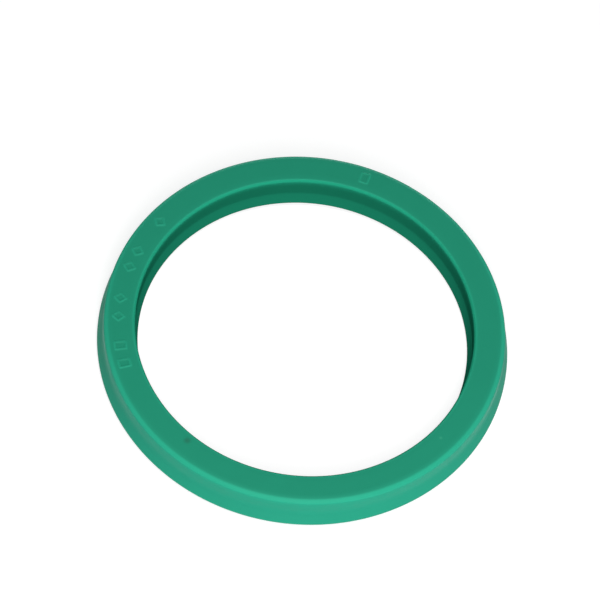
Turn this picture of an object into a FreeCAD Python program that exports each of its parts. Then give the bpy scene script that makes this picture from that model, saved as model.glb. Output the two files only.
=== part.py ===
import FreeCAD, Part
import math
import os
import Sketcher

# A U cup seal for a shaft in a bore: one moulded ring, lying on the rims of its
# two lips with its heel up. Z is the ring's axis, and z = 0 is the rims' plane.

doc = FreeCAD.newDocument("UCupSeal")

# Driving sizes in millimetres: name, value, meaning.
drivingSizes = [
    ("shaftDiameter", "50", "shaft that the inner lip seals on"),
    ("sectionWidth", "5", "radial room for the seal, from shaft to bore"),
    ("sealHeight", "6", "height from the rims to the heel"),
    ("heelClearance", "0.2", "radial play of the heel to shaft and to bore"),
    ("innerLipPress", "0.4", "radial overlap of the free inner lip with the shaft"),
    ("outerLipPress", "0.6", "radial overlap of the free outer lip with the bore"),
    ("sealingEdgeHeight", "0.8", "height of both sealing edges above the rims"),
    ("lipChamferWidth", "0.65", "radial width of the chamfer under a sealing edge"),
    ("waistHeight", "2.7", "height at which a wall's line meets its lip's line"),
    ("waistRound", "3", "radius that blends a wall into its lip"),
    ("grooveWidth", "1.95", "width of the groove between the rims"),
    ("grooveDepth", "1.95", "depth of the groove from the rims"),
    ("grooveRound", "0.45", "radius of the groove's bottom"),
    ("heelChamfer", "0.4", "chamfer at both heel corners"),
    ("heelRound", "0.3", "radius that eases both edges of a heel chamfer"),
]

sizes = doc.addObject("Spreadsheet::Sheet", "Sizes")
for row, (name, value, meaning) in enumerate(drivingSizes, start=1):
    sizes.set(f"A{row}", meaning)
    sizes.set(f"B{row}", value)
    sizes.setAlias(f"B{row}", name)
doc.recompute()

# Radii and heights that follow from the driving sizes.
heelInner = "Sizes.shaftDiameter / 2 + Sizes.heelClearance"
heelOuter = "Sizes.shaftDiameter / 2 + Sizes.sectionWidth - Sizes.heelClearance"
lipInner = "Sizes.shaftDiameter / 2 - Sizes.innerLipPress"
lipOuter = "Sizes.shaftDiameter / 2 + Sizes.sectionWidth + Sizes.outerLipPress"
rimInner = f"{lipInner} + Sizes.lipChamferWidth"
rimOuter = f"{lipOuter} - Sizes.lipChamferWidth"
grooveMiddle = f"({lipInner} + {lipOuter}) / 2"
grooveInner = f"{grooveMiddle} - Sizes.grooveWidth / 2"
grooveOuter = f"{grooveMiddle} + Sizes.grooveWidth / 2"
grooveCentreHeight = "Sizes.grooveDepth - Sizes.grooveRound"
faceInner = f"{heelInner} + Sizes.heelChamfer"
faceOuter = f"{heelOuter} - Sizes.heelChamfer"
wallHeight = "Sizes.sealHeight - Sizes.heelChamfer"
rimHeight = "0"

body = doc.addObject("PartDesign::Body", "SealRing")
body.Label = "seal_ring"
body.Placement = FreeCAD.Placement()
sectionPlane = next(plane for plane in body.Origin.OriginFeatures if plane.Role == "XZ_Plane")

section = body.newObject("Sketcher::SketchObject", "Section")
section.AttachmentSupport = [(sectionPlane, "")]
section.MapMode = "FlatFace"


def sizeOf(expression):
    return float(section.evalExpression(expression))


def point(radius, height):
    return FreeCAD.Vector(sizeOf(radius), sizeOf(height), 0)


# The right half of the section, drawn anticlockwise from the inner rim.
corners = {
    "innerRim": point(rimInner, rimHeight),
    "innerMouth": point(grooveInner, rimHeight),
    "innerFloor": point(f"{grooveMiddle} - Sizes.grooveRound", grooveCentreHeight),
    "outerFloor": point(f"{grooveMiddle} + Sizes.grooveRound", grooveCentreHeight),
    "outerMouth": point(grooveOuter, rimHeight),
    "outerRim": point(rimOuter, rimHeight),
    "outerEdge": point(lipOuter, "Sizes.sealingEdgeHeight"),
    "outerWaist": point(heelOuter, "Sizes.waistHeight"),
    "outerWallTop": point(heelOuter, wallHeight),
    "outerFaceEdge": point(faceOuter, "Sizes.sealHeight"),
    "innerFaceEdge": point(faceInner, "Sizes.sealHeight"),
    "innerWallTop": point(heelInner, wallHeight),
    "innerWaist": point(heelInner, "Sizes.waistHeight"),
    "innerEdge": point(lipInner, "Sizes.sealingEdgeHeight"),
}


def drawLine(start, end):
    return section.addGeometry(Part.LineSegment(corners[start], corners[end]), False)


def drawArc(centre, size, startAngle, endAngle):
    circle = Part.Circle(centre, FreeCAD.Vector(0, 0, 1), sizeOf(size))
    return section.addGeometry(Part.ArcOfCircle(circle, startAngle, endAngle), False)


def drawRound(corner, startAngle):
    # An arc of an eighth of a turn, inside a corner of the heel.
    middle = startAngle + eighthTurn / 2
    reach = sizeOf("Sizes.heelRound") / math.cos(eighthTurn / 2)
    centre = corners[corner] - FreeCAD.Vector(math.cos(middle), math.sin(middle), 0) * reach
    return drawArc(centre, "Sizes.heelRound", startAngle, startAngle + eighthTurn)


def drawCorner(corner):
    # The corner that two lines would make without the arc between them.
    return section.addGeometry(Part.Point(corners[corner]), True)


def leanOf(edge, waist):
    # The angle between a lip's flare and the upright.
    flare = corners[waist] - corners[edge]
    return math.atan2(abs(flare.x), flare.y)


eighthTurn = math.pi / 4
innerRimFlat = drawLine("innerRim", "innerMouth")
innerFlank = drawLine("innerMouth", "innerFloor")
grooveCentre = point(grooveMiddle, grooveCentreHeight)
grooveFloor = drawArc(grooveCentre, "Sizes.grooveRound", 0, math.pi)
outerFlank = drawLine("outerFloor", "outerMouth")
outerRimFlat = drawLine("outerMouth", "outerRim")
outerChamfer = drawLine("outerRim", "outerEdge")
outerFlare = drawLine("outerEdge", "outerWaist")
outerBlendCentre = point(f"{heelOuter} + Sizes.waistRound", "Sizes.waistHeight")
outerLean = leanOf("outerEdge", "outerWaist")
outerBlend = drawArc(outerBlendCentre, "Sizes.waistRound", math.pi, math.pi + outerLean)
outerWall = drawLine("outerWaist", "outerWallTop")
outerWallRound = drawRound("outerWallTop", 0)
outerBevel = drawLine("outerWallTop", "outerFaceEdge")
outerFaceRound = drawRound("outerFaceEdge", eighthTurn)
heel = drawLine("outerFaceEdge", "innerFaceEdge")
innerFaceRound = drawRound("innerFaceEdge", 2 * eighthTurn)
innerBevel = drawLine("innerFaceEdge", "innerWallTop")
innerWallRound = drawRound("innerWallTop", 3 * eighthTurn)
innerWall = drawLine("innerWallTop", "innerWaist")
innerBlendCentre = point(f"{heelInner} - Sizes.waistRound", "Sizes.waistHeight")
innerLean = leanOf("innerEdge", "innerWaist")
innerBlend = drawArc(innerBlendCentre, "Sizes.waistRound", -innerLean, 0)
innerFlare = drawLine("innerWaist", "innerEdge")
innerChamfer = drawLine("innerEdge", "innerRim")
outerWaist = drawCorner("outerWaist")
outerWallTop = drawCorner("outerWallTop")
outerFaceEdge = drawCorner("outerFaceEdge")
innerFaceEdge = drawCorner("innerFaceEdge")
innerWallTop = drawCorner("innerWallTop")
innerWaist = drawCorner("innerWaist")

startPoint, endPoint, centrePoint = range(1, 4)
origin = (-1, startPoint)


def constrain(kind, *where):
    return section.addConstraint(Sketcher.Constraint(kind, *where))


def dimension(name, kind, where, size):
    index = constrain(kind, *where, sizeOf(size))
    section.renameConstraint(index, name)
    section.setExpression(f"Constraints.{name}", size)


# Sharp corners join end to start.
outerLip = [outerFlank, outerRimFlat, outerChamfer, outerFlare]
innerLip = [innerFlare, innerChamfer, innerRimFlat, innerFlank]
for chain in (outerLip, innerLip):
    for line, nextLine in zip(chain, chain[1:]):
        constrain("Coincident", line, endPoint, nextLine, startPoint)

# The groove's flanks run smoothly into its round bottom, and each wall into its lip.
constrain("Tangent", innerFlank, endPoint, grooveFloor, endPoint)
constrain("Tangent", outerFlank, startPoint, grooveFloor, startPoint)
constrain("Tangent", outerFlare, endPoint, outerBlend, endPoint)
constrain("Tangent", outerWall, startPoint, outerBlend, startPoint)
constrain("Tangent", innerWall, endPoint, innerBlend, endPoint)
constrain("Tangent", innerFlare, startPoint, innerBlend, startPoint)

# So do the walls, the bevels and the heel's face, over the four rounds.
for line, arc, nextLine in (
    (outerWall, outerWallRound, outerBevel),
    (outerBevel, outerFaceRound, heel),
    (heel, innerFaceRound, innerBevel),
    (innerBevel, innerWallRound, innerWall),
):
    constrain("Tangent", line, endPoint, arc, startPoint)
    constrain("Tangent", arc, endPoint, nextLine, startPoint)

for corner, line, nextLine in (
    (outerWaist, outerFlare, outerWall),
    (outerWallTop, outerWall, outerBevel),
    (outerFaceEdge, outerBevel, heel),
    (innerFaceEdge, heel, innerBevel),
    (innerWallTop, innerBevel, innerWall),
    (innerWaist, innerWall, innerFlare),
):
    constrain("PointOnObject", corner, startPoint, line)
    constrain("PointOnObject", corner, startPoint, nextLine)

constrain("Horizontal", *origin, innerRimFlat, startPoint)
constrain("Horizontal", innerRimFlat)
constrain("Horizontal", *origin, outerRimFlat, startPoint)
constrain("Horizontal", outerRimFlat)
constrain("Horizontal", heel)
constrain("Vertical", innerWall)
constrain("Vertical", outerWall)

dimension("heelInner", "DistanceX", (*origin, innerWall, startPoint), heelInner)
dimension("heelOuter", "DistanceX", (*origin, outerWall, endPoint), heelOuter)
dimension("lipInner", "DistanceX", (*origin, innerChamfer, startPoint), lipInner)
dimension("lipOuter", "DistanceX", (*origin, outerChamfer, endPoint), lipOuter)
dimension("rimInner", "DistanceX", (*origin, innerRimFlat, startPoint), rimInner)
dimension("rimOuter", "DistanceX", (*origin, outerRimFlat, endPoint), rimOuter)
dimension("grooveInner", "DistanceX", (*origin, innerRimFlat, endPoint), grooveInner)
dimension("grooveOuter", "DistanceX", (*origin, outerRimFlat, startPoint), grooveOuter)
dimension("grooveMiddle", "DistanceX", (*origin, grooveFloor, centrePoint), grooveMiddle)
dimension("sealHeight", "DistanceY", (*origin, heel, startPoint), "Sizes.sealHeight")
dimension("faceInner", "DistanceX", (*origin, innerFaceEdge, startPoint), faceInner)
dimension("faceOuter", "DistanceX", (*origin, outerFaceEdge, startPoint), faceOuter)
dimension("innerWallTop", "DistanceY", (*origin, innerWallTop, startPoint), wallHeight)
dimension("outerWallTop", "DistanceY", (*origin, outerWallTop, startPoint), wallHeight)
dimension("innerWallRound", "Radius", (innerWallRound,), "Sizes.heelRound")
dimension("innerFaceRound", "Radius", (innerFaceRound,), "Sizes.heelRound")
dimension("outerFaceRound", "Radius", (outerFaceRound,), "Sizes.heelRound")
dimension("outerWallRound", "Radius", (outerWallRound,), "Sizes.heelRound")
dimension("innerWaist", "DistanceY", (*origin, innerWaist, startPoint), "Sizes.waistHeight")
dimension("outerWaist", "DistanceY", (*origin, outerWaist, startPoint), "Sizes.waistHeight")
dimension("innerBlend", "Radius", (innerBlend,), "Sizes.waistRound")
dimension("outerBlend", "Radius", (outerBlend,), "Sizes.waistRound")
dimension("innerEdge", "DistanceY", (*origin, innerFlare, endPoint), "Sizes.sealingEdgeHeight")
dimension("outerEdge", "DistanceY", (*origin, outerFlare, startPoint), "Sizes.sealingEdgeHeight")
dimension("grooveCentre", "DistanceY", (*origin, grooveFloor, centrePoint), grooveCentreHeight)
dimension("grooveRound", "Radius", (grooveFloor,), "Sizes.grooveRound")
doc.recompute()

ring = body.newObject("PartDesign::Revolution", "Ring")
ring.Profile = section
ring.ReferenceAxis = (section, ["V_Axis"])
ring.Angle = 360
section.Visibility = False
body.Tip = ring
doc.recompute()

for item in doc.Objects:
    if "Invalid" in item.State or "Error" in item.State:
        raise RuntimeError(f"{item.Name} failed: {item.State}")
for item in (section, ring, body):
    if item.Shape.isNull() or not item.Shape.isValid():
        raise RuntimeError(f"{item.Name} has no valid shape")

os.makedirs("parts", exist_ok=True)
body.Shape.exportStep(f"parts/{body.Label}.step")
print(f"{body.Label}: {body.Shape.Volume:.1f} cubic mm, box {body.Shape.BoundBox}")
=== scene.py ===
import math

import bpy
import numpy as np
from mathutils import Matrix, Vector


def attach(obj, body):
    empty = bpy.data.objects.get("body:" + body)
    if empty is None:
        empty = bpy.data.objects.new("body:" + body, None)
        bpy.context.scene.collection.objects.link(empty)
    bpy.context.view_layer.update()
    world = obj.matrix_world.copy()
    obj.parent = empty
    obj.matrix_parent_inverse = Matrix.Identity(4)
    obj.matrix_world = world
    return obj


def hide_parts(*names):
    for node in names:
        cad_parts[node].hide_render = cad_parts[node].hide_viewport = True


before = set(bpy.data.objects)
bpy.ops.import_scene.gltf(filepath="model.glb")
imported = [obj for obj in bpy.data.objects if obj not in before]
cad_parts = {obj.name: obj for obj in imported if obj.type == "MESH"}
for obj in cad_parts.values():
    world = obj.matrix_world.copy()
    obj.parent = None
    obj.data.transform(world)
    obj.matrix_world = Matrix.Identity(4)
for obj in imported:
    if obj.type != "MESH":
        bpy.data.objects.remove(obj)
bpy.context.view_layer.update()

millimetre = 0.001


# Small helpers for node trees and meshes.

def newNode(tree, kind, inputs=None, **settings):
    node = tree.nodes.new(kind)
    for name, value in settings.items():
        setattr(node, name, value)
    for socket, value in (inputs or {}).items():
        node.inputs[socket].default_value = value
    return node


def join(tree, source, output, target, socket):
    tree.links.new(source.outputs[output], target.inputs[socket])


def gridMesh(name, points):
    # A surface on a grid that closes on itself both ways: points[row, column] is joined to the
    # next row and the next column, and the last ones to the first.
    rows, columns = points.shape[:2]
    here = np.arange(rows * columns).reshape(rows, columns)
    right = np.roll(here, -1, axis=1)
    below = np.roll(here, -1, axis=0)
    across = np.roll(below, -1, axis=1)
    quads = np.stack([here, right, across, below], axis=-1).reshape(-1, 4)
    mesh = bpy.data.meshes.new(name)
    mesh.vertices.add(rows * columns)
    mesh.vertices.foreach_set("co", points.reshape(-1))
    mesh.loops.add(quads.size)
    mesh.loops.foreach_set("vertex_index", quads.reshape(-1))
    mesh.polygons.add(len(quads))
    mesh.polygons.foreach_set("loop_start", np.arange(0, quads.size, 4))
    mesh.polygons.foreach_set("use_smooth", np.ones(len(quads), dtype=bool))
    mesh.update(calc_edges=True)
    mesh.validate()
    return mesh


sealRing = {
    # Corners of the half section in millimetres, anticlockwise: radius, height, rounding, and
    # how many points fill the straight run to the next corner.
    "corners": (
        (25.25, 0.0, 0.06, 3),      # inner rim, inside
        (26.625, 0.0, 0.10, 3),     # inner rim, at the groove
        (27.6, 2.922, 0.45, 3),     # bottom of the groove
        (28.575, 0.0, 0.10, 3),     # outer rim, at the groove
        (29.95, 0.0, 0.06, 3),      # outer rim, outside
        (30.61, 0.68, 0.04, 3),     # outer sealing edge
        (29.78, 2.75, 3.0, 2),      # outer waist
        (29.87, 4.6, 8.0, 1),       # the outer wall is a little barrelled
        (29.83, 5.56, 0.45, 1),     # heel bevel, outer wall
        (29.20, 5.885, 0.90, 1),    # heel bevel, outer side of the face
        (28.70, 5.93, 4.0, 24),     # where the face starts to roll off outwards
        (26.30, 5.93, 4.0, 1),      # and inwards
        (25.46, 5.895, 0.32, 1),    # heel bevel, inner side of the face
        (25.17, 5.58, 0.30, 1),     # heel bevel, inner wall
        (25.12, 4.7, 8.0, 2),       # the inner wall is a little barrelled
        (25.17, 2.55, 1.2, 3),      # inner waist
        (24.57, 0.68, 0.04, 3),     # inner sealing edge
    ),
    "arcPoints": 6,
    "coarseColumns": 300,
    "mapStrips": 3,                 # divides coarseColumns, and no cut runs through a mark
    "mapMargin": 0.01,
    "unevenness": 0.02,             # the most that the waves draw the radius in, millimetres
    "waves": ((2, 1.0, 0.7), (5, 0.6, 2.1), (9, 0.4, 4.0)),     # times round, share and phase
}

# Small raised marks on the heel: plain squares and diamonds. Each bar of a mark is given in
# millimetres, along the ring and outwards, for one end and then the other. A place is an
# azimuth in degrees.
square = (
    (-0.6, -0.8, -0.6, 0.8), (-0.6, 0.8, 0.6, 0.8), (0.6, 0.8, 0.6, -0.8), (0.6, -0.8, -0.6, -0.8),
)
diamond = (
    (-0.75, 0, 0, 0.85), (0, 0.85, 0.75, 0), (0.75, 0, 0, -0.85), (0, -0.85, -0.75, 0),
)

raisedMarks = {
    "radius": 27.65,                # of the line that the marks stand on
    "width": 0.30,                  # of a bar, half way up its sides
    "slope": 0.12,                  # how wide a bar's side is
    "height": 0.07,
    "faceDepth": 0.001,             # the section's points this near its top carry the marks
    "columnsPerDegree": 4,
    "margin": 3.5,                  # degrees of close columns to each side of a mark's middle
    "places": (
        (-157.2, square), (-163.5, square),
        (-173.9, diamond), (179.6, diamond),
        (168.0, diamond), (161.8, diamond),
        (149.0, diamond),
        (78.2, square),
    ),
}


def roundedSection(ring):
    # Each corner becomes an arc tangent to both of its sides: its centre lies on the corner's
    # bisector, radius / cos(half the turn) away, and the arc sweeps the turn about it. Points
    # spaced evenly fill the straight run from each arc to the next.
    table = np.array(ring["corners"])
    corner, radius, fill = table[:, :2], table[:, 2:3], table[:, 3].astype(int)
    number = np.arange(len(table))
    before = corner - np.roll(corner, 1, axis=0)
    after = np.roll(corner, -1, axis=0) - corner
    before /= np.linalg.norm(before, axis=1, keepdims=True)
    after /= np.linalg.norm(after, axis=1, keepdims=True)
    cross = before[:, 0] * after[:, 1] - before[:, 1] * after[:, 0]
    turn = np.arctan2(cross, (before * after).sum(axis=1))
    inward = after - before
    inward /= np.linalg.norm(inward, axis=1, keepdims=True)
    centre = corner + inward * radius / np.cos(turn / 2)[:, None]
    count = ring["arcPoints"]
    share = np.linspace(-0.5, 0.5, count)
    angle = np.arctan2(-inward[:, 1], -inward[:, 0])[:, None] + share * turn[:, None]
    arcs = centre[:, None] + radius[:, :, None] * np.stack([np.cos(angle), np.sin(angle)], axis=-1)
    start, end = arcs[:, -1], np.roll(arcs[:, 0], -1, axis=0)
    owner = np.repeat(number, fill)
    place = np.arange(len(owner)) - np.repeat(np.cumsum(fill) - fill, fill) + 1
    runs = start[owner] + (end - start)[owner] * (place / (fill[owner] + 1))[:, None]
    points = np.concatenate([arcs.reshape(-1, 2), runs])
    cornerOf = np.concatenate([np.repeat(number, count), owner])
    stepOf = np.concatenate([np.tile(np.arange(count), len(table)), count + place])
    return points[np.lexsort((stepOf, cornerOf))]


def ringAzimuths(ring, marks):
    # Columns all round, one every 360 / coarseColumns degrees, and close ones over the marks.
    places = np.array([place[0] for place in marks["places"]]) % 360
    coarse = np.linspace(0, 360, ring["coarseColumns"], endpoint=False)
    close = np.arange(0, 360, 1 / marks["columnsPerDegree"])
    near = np.abs(close[:, None] - places).min(axis=1) < marks["margin"]
    away = np.abs(coarse[:, None] - places).min(axis=1) >= marks["margin"]
    return np.radians(np.sort(np.concatenate([close[near], coarse[away]])))


def markHeight(marks, radius, azimuth):
    # Distance from each point of the face to the nearest bar's middle line, turned into a
    # height by 3t^2 - 2t^3, where t goes from 0 to 1 across the bar's slope.
    nearest = np.full(np.broadcast(radius, azimuth).shape, np.inf)
    for place, bars in marks["places"]:
        turned = (azimuth - math.radians(place) + np.pi) % (2 * np.pi) - np.pi
        along, outward = turned * marks["radius"], radius - marks["radius"]
        for x0, y0, x1, y1 in bars:
            x, y, dx, dy = along - x0, outward - y0, x1 - x0, y1 - y0
            t = np.clip((x * dx + y * dy) / (dx * dx + dy * dy), 0, 1)
            nearest = np.minimum(nearest, np.hypot(x - t * dx, y - t * dy))
    t = np.clip((marks["width"] / 2 + marks["slope"] / 2 - nearest) / marks["slope"], 0, 1)
    return marks["height"] * t * t * (3 - 2 * t)


def addStripMap(mesh, ring, section, azimuth):
    # A map over the ring's surface, named OFBake. The ring is cut across into equal strips, laid one
    # above the other. On each, u runs along the ring and v round the section, both from 0 to 1 within
    # a margin.
    strips, margin = ring["mapStrips"], ring["mapMargin"]
    steps = np.linalg.norm(np.roll(section, -1, axis=0) - section, axis=1)
    rows = np.concatenate([[0], np.cumsum(steps)]) / steps.sum()
    columns = np.append(azimuth, azimuth[0] + 2 * np.pi) / (2 * np.pi) * strips
    strip = np.floor((columns[:-1] + columns[1:]) / 2)
    left, right = columns[:-1] - strip, columns[1:] - strip
    low, high = rows[:-1], rows[1:]
    uv = np.empty((len(low), len(left), 4, 2), dtype=np.float32)
    uv[..., 0] = np.stack([left, right, right, left], axis=-1)
    uv[..., 1] = np.stack([low, low, high, high], axis=-1)[:, None]
    uv = uv * (1 - 2 * margin) + margin
    uv[..., 1] = (uv[..., 1] + strip[:, None]) / strips
    layer = mesh.uv_layers.new(name="OFBake")
    layer.uv.foreach_set("vector", uv.reshape(-1))


def buildSealRing(ring, marks):
    # The section is carried round the axis: x = r cos(a), y = r sin(a), z = height. A slow
    # wave, a sum of sines of a, draws the radius in by up to the unevenness.
    section = roundedSection(ring)
    azimuth = ringAzimuths(ring, marks)
    radius, height = section[:, :1], section[:, 1:]
    wave = sum(share * np.sin(turns * azimuth + phase) for turns, share, phase in ring["waves"])
    crest = sum(share for turns, share, phase in ring["waves"])
    radius = radius - ring["unevenness"] * (crest + wave) / (2 * crest)
    onFace = height > height.max() - marks["faceDepth"]
    height = height + np.where(onFace, markHeight(marks, radius, azimuth), 0)
    points = np.stack([radius * np.cos(azimuth), radius * np.sin(azimuth), height], axis=-1)
    mesh = gridMesh("moulded_ring", points * millimetre)
    addStripMap(mesh, ring, section, azimuth)
    piece = bpy.data.objects.new("moulded_ring", mesh)
    bpy.context.collection.objects.link(piece)
    return piece


ringPiece = buildSealRing(sealRing, raisedMarks)
print("seal ring built:", len(ringPiece.data.polygons), "faces")


# The ring's finish, with painted shade and painted highlights in some of its tones and colours.
# Lengths are in millimetres, and a tone is a share of the colour.
greenPolyurethane = {
    "outside": {
        "name": "green_polyurethane",
        "colour": (0.016, 0.262, 0.156, 1.0),
        "specularLevel": 0.04,
        "grainDepth": 0.002,
    },
    "bore": {                       # duller, and its colour darker and less red as painted shade in the bore
        "name": "green_polyurethane_bore_shaded",
        # Painted shade: the bore's colour is darker and less red than the outside's.
        "colour": (0.012, 0.249, 0.141, 1.0),
        "specularLevel": 0.0,
        "grainDepth": 0.003,
    },
    "boreRadius": 25.45,            # the bore's duller finish and painted shade lie within it
    "roughness": (0.38, 0.47),      # moves between these with the mottle
    "grainScale": 3000.0,           # grains of about 0.3 mm
    "mottleScale": 260.0,           # patches of about 4 mm
    "mottleRange": (0.3, 0.7),      # of the noise, which seldom leaves it
    "mottleTone": (0.99, 1.01),
    "paintedLipShade": 0.9,                 # painted shade: the outer lip is a little darker than the heel
    "lipHeight": (2.2, 3.4),
    "lipRadius": (27.0, 28.0),
    "paintedMarkHighlight": 1.1,                # painted highlight: the tops of the raised marks are a little paler
    "markHeight": (5.945, 5.975),
    "paintedEdgeHighlight": 1.19,               # painted highlight: the heel's two edges are paler too
    "edgeRadius": 27.4,             # half way between them
    "edgeReach": (1.6, 2.0),
    "edgeHeight": (5.4, 5.8),
    "smudge": {                     # a spot is full within its core and gone at its size
        "colour": (0.019, 0.182, 0.108, 1.0),
        "centre": (-14.68, -22.18, 5.93),
        "core": 0.17,
        "size": 0.85,
    },
    "speck": {
        "colour": (0.032, 0.315, 0.188, 1.0),
        "centre": (21.98, -15.6, 5.93),
        "core": 0.084,
        "size": 0.42,
    },
}

# The shared finish's inputs and outputs.
finishSockets = (
    ("Colour", "INPUT", "NodeSocketColor"),
    ("Grain Depth", "INPUT", "NodeSocketFloat"),
    ("Colour", "OUTPUT", "NodeSocketColor"),
    ("Mottle", "OUTPUT", "NodeSocketFloat"),
    ("Roughness", "OUTPUT", "NodeSocketFloat"),
    ("Normal", "OUTPUT", "NodeSocketVector"),
)


def ramp(tree, source, output, fromRange, toRange):
    # A smooth step: toRange's first value below fromRange, its second above.
    step = newNode(tree, "ShaderNodeMapRange", {
        "From Min": fromRange[0], "From Max": fromRange[1], "To Min": toRange[0], "To Max": toRange[1],
    }, interpolation_type="SMOOTHSTEP")
    join(tree, source, output, step, "Value")
    return step


def times(tree, first, firstOutput, second, secondOutput):
    product = newNode(tree, "ShaderNodeMath", operation="MULTIPLY")
    join(tree, first, firstOutput, product, 0)
    join(tree, second, secondOutput, product, 1)
    return product


def mixTone(tree, mask, output, tone):
    # One where the mask is none, and the tone where it is full.
    blend = newNode(tree, "ShaderNodeMath", {1: tone - 1, 2: 1.0}, operation="MULTIPLY_ADD")
    join(tree, mask, output, blend, 0)
    return blend


def span(look, name):
    return [value * millimetre for value in look[name]]


def makeMouldedFinish(look):
    # What both polyurethanes share. The tone is a product: mottle, painted shade on the outer lip, and
    # painted highlights on the tops of the marks and on the heel's edges. The same mottle moves the
    # roughness, and a fine grain the normal.
    tree = bpy.data.node_groups.new("moulded_finish", "ShaderNodeTree")
    for name, way, kind in finishSockets:
        tree.interface.new_socket(name, in_out=way, socket_type=kind)
    given = newNode(tree, "NodeGroupInput")
    result = newNode(tree, "NodeGroupOutput")

    place = newNode(tree, "ShaderNodeTexCoord")
    axes = newNode(tree, "ShaderNodeSeparateXYZ")
    join(tree, place, "Object", axes, "Vector")
    flat = newNode(tree, "ShaderNodeVectorMath", {1: (1, 1, 0)}, operation="MULTIPLY")
    join(tree, place, "Object", flat, 0)
    radius = newNode(tree, "ShaderNodeVectorMath", operation="LENGTH")
    join(tree, flat, "Vector", radius, 0)
    mottle = newNode(tree, "ShaderNodeTexNoise", {
        "Scale": look["mottleScale"], "Detail": 4.0, "Roughness": 0.6,
    })
    join(tree, place, "Object", mottle, "Vector")

    # Painted shade on the outer lip: its colour is darkened below the lip height and outside the lip
    # radius.
    low = ramp(tree, axes, "Z", span(look, "lipHeight"), (1, 0))
    outside = ramp(tree, radius, "Value", span(look, "lipRadius"), (0, 1))
    onLip = times(tree, low, "Result", outside, "Result")
    paintedLipShade = mixTone(tree, onLip, "Value", look["paintedLipShade"])
    # Painted highlight on the tops of the raised marks: their colour is made paler.
    paintedMarkHighlight = ramp(tree, axes, "Z", span(look, "markHeight"), (1, look["paintedMarkHighlight"]))
    # Painted highlight along the heel's two edges: the colour is made paler where the face meets the
    # walls.
    middle = -look["edgeRadius"] * millimetre
    fromMiddle = newNode(tree, "ShaderNodeMath", {1: middle}, operation="ADD")
    join(tree, radius, "Value", fromMiddle, 0)
    reach = newNode(tree, "ShaderNodeMath", operation="ABSOLUTE")
    join(tree, fromMiddle, "Value", reach, 0)
    sideways = ramp(tree, reach, "Value", span(look, "edgeReach"), (0, 1))
    upwards = ramp(tree, axes, "Z", span(look, "edgeHeight"), (0, 1))
    onEdge = times(tree, sideways, "Result", upwards, "Result")
    paintedEdgeHighlight = mixTone(tree, onEdge, "Value", look["paintedEdgeHighlight"])
    mottleTone = ramp(tree, mottle, "Fac", look["mottleRange"], look["mottleTone"])

    tone = times(tree, paintedLipShade, "Value", paintedEdgeHighlight, "Value")
    tone = times(tree, tone, "Value", paintedMarkHighlight, "Result")
    tone = times(tree, tone, "Value", mottleTone, "Result")
    toned = newNode(tree, "ShaderNodeVectorMath", operation="SCALE")
    join(tree, given, "Colour", toned, 0)
    join(tree, tone, "Value", toned, "Scale")
    satin = ramp(tree, mottle, "Fac", look["mottleRange"], look["roughness"])
    grain = newNode(tree, "ShaderNodeTexNoise", {"Scale": look["grainScale"], "Detail": 2.0})
    join(tree, place, "Object", grain, "Vector")
    bump = newNode(tree, "ShaderNodeBump", {"Strength": 1.0})
    join(tree, given, "Grain Depth", bump, "Distance")
    join(tree, grain, "Fac", bump, "Height")

    join(tree, toned, "Vector", result, "Colour")
    join(tree, mottle, "Fac", result, "Mottle")
    join(tree, satin, "Result", result, "Roughness")
    join(tree, bump, "Normal", result, "Normal")
    return tree


def spotMask(tree, place, mottled, spot):
    # One within the spot's core and none beyond its size. The mottle shifts the distance from
    # the centre by up to half the size either way, which makes the outline ragged.
    core, size = spot["core"] * millimetre, spot["size"] * millimetre
    away = newNode(tree, "ShaderNodeVectorMath", {1: span(spot, "centre")}, operation="DISTANCE")
    join(tree, place, "Object", away, 0)
    ragged = newNode(tree, "ShaderNodeMath", {1: size, 2: -size / 2}, operation="MULTIPLY_ADD")
    join(tree, mottled, "Mottle", ragged, 0)
    shifted = newNode(tree, "ShaderNodeMath", operation="ADD")
    join(tree, away, "Value", shifted, 0)
    join(tree, ragged, "Value", shifted, 1)
    return ramp(tree, shifted, "Value", (core, size), (1, 0))


def makePolyurethane(finish, look, spots):
    # The shared finish in one of its two forms, the bore's with a colour of painted shade, and with
    # each spot's colour laid over it.
    material = bpy.data.materials.new(look["name"])
    material.use_nodes = True
    tree = material.node_tree
    tree.nodes.clear()
    surface = newNode(tree, "ShaderNodeBsdfPrincipled", {"Specular IOR Level": look["specularLevel"]})
    moulded = newNode(tree, "ShaderNodeGroup", node_tree=finish)
    moulded.inputs["Colour"].default_value = look["colour"]
    moulded.inputs["Grain Depth"].default_value = look["grainDepth"] * millimetre
    join(tree, moulded, "Roughness", surface, "Roughness")
    join(tree, moulded, "Normal", surface, "Normal")
    place = newNode(tree, "ShaderNodeTexCoord")
    colour = moulded.outputs["Colour"]
    for spot in spots:
        mask = spotMask(tree, place, moulded, spot)
        mix = newNode(tree, "ShaderNodeMix", data_type="RGBA")
        base, laid, mixed = mix.inputs[6], mix.inputs[7], mix.outputs[2]    # its colour sockets
        join(tree, mask, "Result", mix, "Factor")
        tree.links.new(colour, base)
        laid.default_value = spot["colour"]
        colour = mixed
    tree.links.new(colour, surface.inputs["Base Color"])
    output = newNode(tree, "ShaderNodeOutputMaterial")
    join(tree, surface, "BSDF", output, "Surface")
    return material


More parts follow.
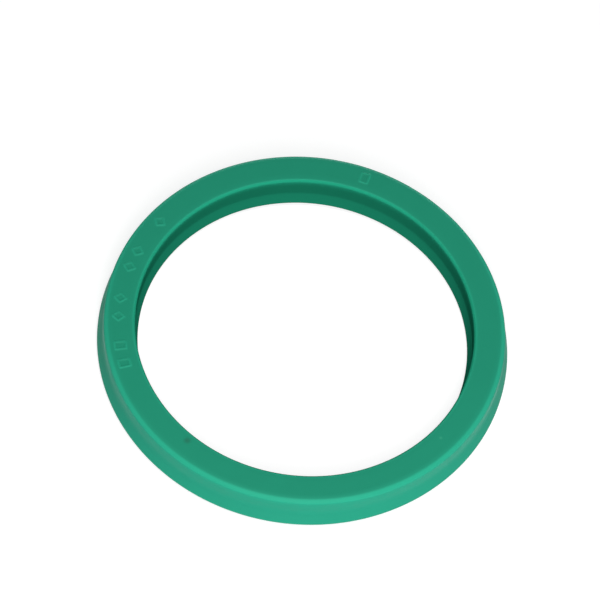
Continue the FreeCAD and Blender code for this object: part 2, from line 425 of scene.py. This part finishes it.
def dressRing(piece, look):
    # The faces whose middle is nearer the axis than the bore's radius take the bore's finish, whose
    # darker, less red colour is painted shade.
    finish = makeMouldedFinish(look)
    spots = (look["smudge"], look["speck"])
    piece.data.materials.append(makePolyurethane(finish, look["outside"], spots))
    piece.data.materials.append(makePolyurethane(finish, look["bore"], ()))
    centre = np.empty(3 * len(piece.data.polygons))
    piece.data.polygons.foreach_get("center", centre)
    inBore = np.hypot(centre[0::3], centre[1::3]) < look["boreRadius"] * millimetre
    piece.data.polygons.foreach_set("material_index", inBore.astype(np.int32))


dressRing(ringPiece, greenPolyurethane)
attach(ringPiece, "root")
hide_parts("seal_ring")
print("polyurethane made")


# Lengths here and below are in metres.
studio = {
    "floorHalf": 3.0,
    "floorGap": 0.00002,        # keeps the floor clear of the lips, which rest on it
    "floorColour": (0.18, 0.18, 0.18, 1.0),
    "floorShare": 0.38,         # how much of the floor's look comes from the light on it
    "floorGlow": 0.72,
    "worldStrength": 0.05,
}

# Azimuth and elevation in degrees, distance, width and height, power in watts, and the blue
# of the light, where 1 is white.
lamps = {
    "topLamp": (0, 88, 0.7, 0.30, 0.25, 1.65, 1),
    "highFrontLamp": (-80, 60, 0.35, 0.15, 0.12, 0.44, 1),
    "lowFrontLamp": (-80, 40, 0.35, 0.15, 0.12, 0.525, 1.03),
    "frontStrip": (-90, 1, 0.5, 0.30, 0.016, 0.94, 1.12),
    "frontRightStrip": (-45, 1, 0.5, 0.30, 0.016, 0.82, 1.12),
    "frontLeftStrip": (-135, 1, 0.5, 0.30, 0.016, 0.48, 1.12),
    "rightStrip": (0, 1, 0.5, 0.30, 0.016, 0.68, 1.12),
    "leftStrip": (180, 1, 0.5, 0.30, 0.016, 0.49, 1.12),
    "backStrip": (90, 1, 0.5, 0.45, 0.016, 0.9, 1.12),
}


def directionOf(azimuth, elevation):
    a, e = math.radians(azimuth), math.radians(elevation)
    return Vector((math.cos(e) * math.cos(a), math.cos(e) * math.sin(a), math.sin(e)))


def whiteRays(tree):
    # One for the rays that show the white backdrop: camera, glossy and transmission rays.
    path = newNode(tree, "ShaderNodeLightPath")
    seen = newNode(tree, "ShaderNodeMath", operation="MAXIMUM")
    join(tree, path, "Is Camera Ray", seen, 0)
    join(tree, path, "Is Glossy Ray", seen, 1)
    allSeen = newNode(tree, "ShaderNodeMath", operation="MAXIMUM")
    join(tree, seen, "Value", allSeen, 0)
    join(tree, path, "Is Transmission Ray", allSeen, 1)
    return allSeen


def makeFloor(look):
    # White with the ring's shadow to the rays that show it, and grey to the light that bounces.
    half = look["floorHalf"]
    mesh = bpy.data.meshes.new("studio_floor")
    depth = -look["floorGap"]
    corners = [(-half, -half, depth), (half, -half, depth), (half, half, depth), (-half, half, depth)]
    mesh.from_pydata(corners, [], [(0, 1, 2, 3)])
    floor = bpy.data.objects.new("studio_floor", mesh)
    bpy.context.collection.objects.link(floor)
    material = bpy.data.materials.new("studio_floor")
    material.use_nodes = True
    tree = material.node_tree
    tree.nodes.clear()
    share = look["floorShare"]
    lit = newNode(tree, "ShaderNodeBsdfDiffuse", {"Color": look["floorColour"]})
    shown = newNode(tree, "ShaderNodeBsdfDiffuse", {"Color": (share, share, share, 1)})
    glow = newNode(tree, "ShaderNodeEmission", {"Color": (1, 1, 1, 1), "Strength": look["floorGlow"]})
    pale = newNode(tree, "ShaderNodeAddShader")
    join(tree, shown, "BSDF", pale, 0)
    join(tree, glow, "Emission", pale, 1)
    choose = newNode(tree, "ShaderNodeMixShader")
    join(tree, whiteRays(tree), "Value", choose, "Fac")
    tree.links.new(lit.outputs["BSDF"], choose.inputs[1])
    tree.links.new(pale.outputs["Shader"], choose.inputs[2])
    output = newNode(tree, "ShaderNodeOutputMaterial")
    join(tree, choose, "Shader", output, "Surface")
    mesh.materials.append(material)


def makeWorld(look):
    # White to the rays that show it, and a faint even light to the rest.
    world = bpy.data.worlds.new("studio_world")
    bpy.context.scene.world = world
    world.use_nodes = True
    world.cycles.sampling_method = "NONE"
    tree = world.node_tree
    tree.nodes.clear()
    ambient = newNode(tree, "ShaderNodeBackground", {"Strength": look["worldStrength"]})
    ambient.inputs["Color"].default_value = (1, 1, 1, 1)
    white = newNode(tree, "ShaderNodeBackground", {"Color": (1, 1, 1, 1), "Strength": 1.0})
    choose = newNode(tree, "ShaderNodeMixShader")
    join(tree, whiteRays(tree), "Value", choose, "Fac")
    tree.links.new(ambient.outputs["Background"], choose.inputs[1])
    tree.links.new(white.outputs["Background"], choose.inputs[2])
    output = newNode(tree, "ShaderNodeOutputWorld")
    join(tree, choose, "Shader", output, "Surface")


def makeLamp(name, azimuth, elevation, distance, width, height, power, blue):
    data = bpy.data.lights.new(name, "AREA")
    data.shape = "RECTANGLE"
    data.size, data.size_y = width, height
    data.energy = power
    data.color = (1, 1, blue)
    lamp = bpy.data.objects.new(name, data)
    away = directionOf(azimuth, elevation)
    lamp.location = away * distance
    lamp.rotation_euler = away.to_track_quat("Z", "Y").to_euler()
    lamp.visible_camera = False
    bpy.context.collection.objects.link(lamp)


makeFloor(studio)
makeWorld(studio)
for lampName, setting in lamps.items():
    makeLamp(lampName, *setting)
print("studio made:", len(lamps), "lamps")

# Angles in degrees, lens and sensor in millimetres.
photoView = {
    "aim": (-0.001313, 0.004410, 0.005644),
    "azimuth": -90,
    "elevation": 59.048,
    "roll": 8.277,
    "distance": 0.798,
    "lens": 322.77,
    "sensorWidth": 36,
}


def makeCamera(look):
    data = bpy.data.cameras.new("photo_camera")
    data.lens = look["lens"]
    data.sensor_width = look["sensorWidth"]
    camera = bpy.data.objects.new("photo_camera", data)
    bpy.context.collection.objects.link(camera)
    back = directionOf(look["azimuth"], look["elevation"])
    place = Matrix.Translation(Vector(look["aim"]) + back * look["distance"])
    roll = Matrix.Rotation(math.radians(look["roll"]), 4, "Z")
    camera.matrix_world = place @ back.to_track_quat("Z", "Y").to_matrix().to_4x4() @ roll
    bpy.context.scene.camera = camera


makeCamera(photoView)
bpy.context.scene.view_settings.view_transform = "Standard"
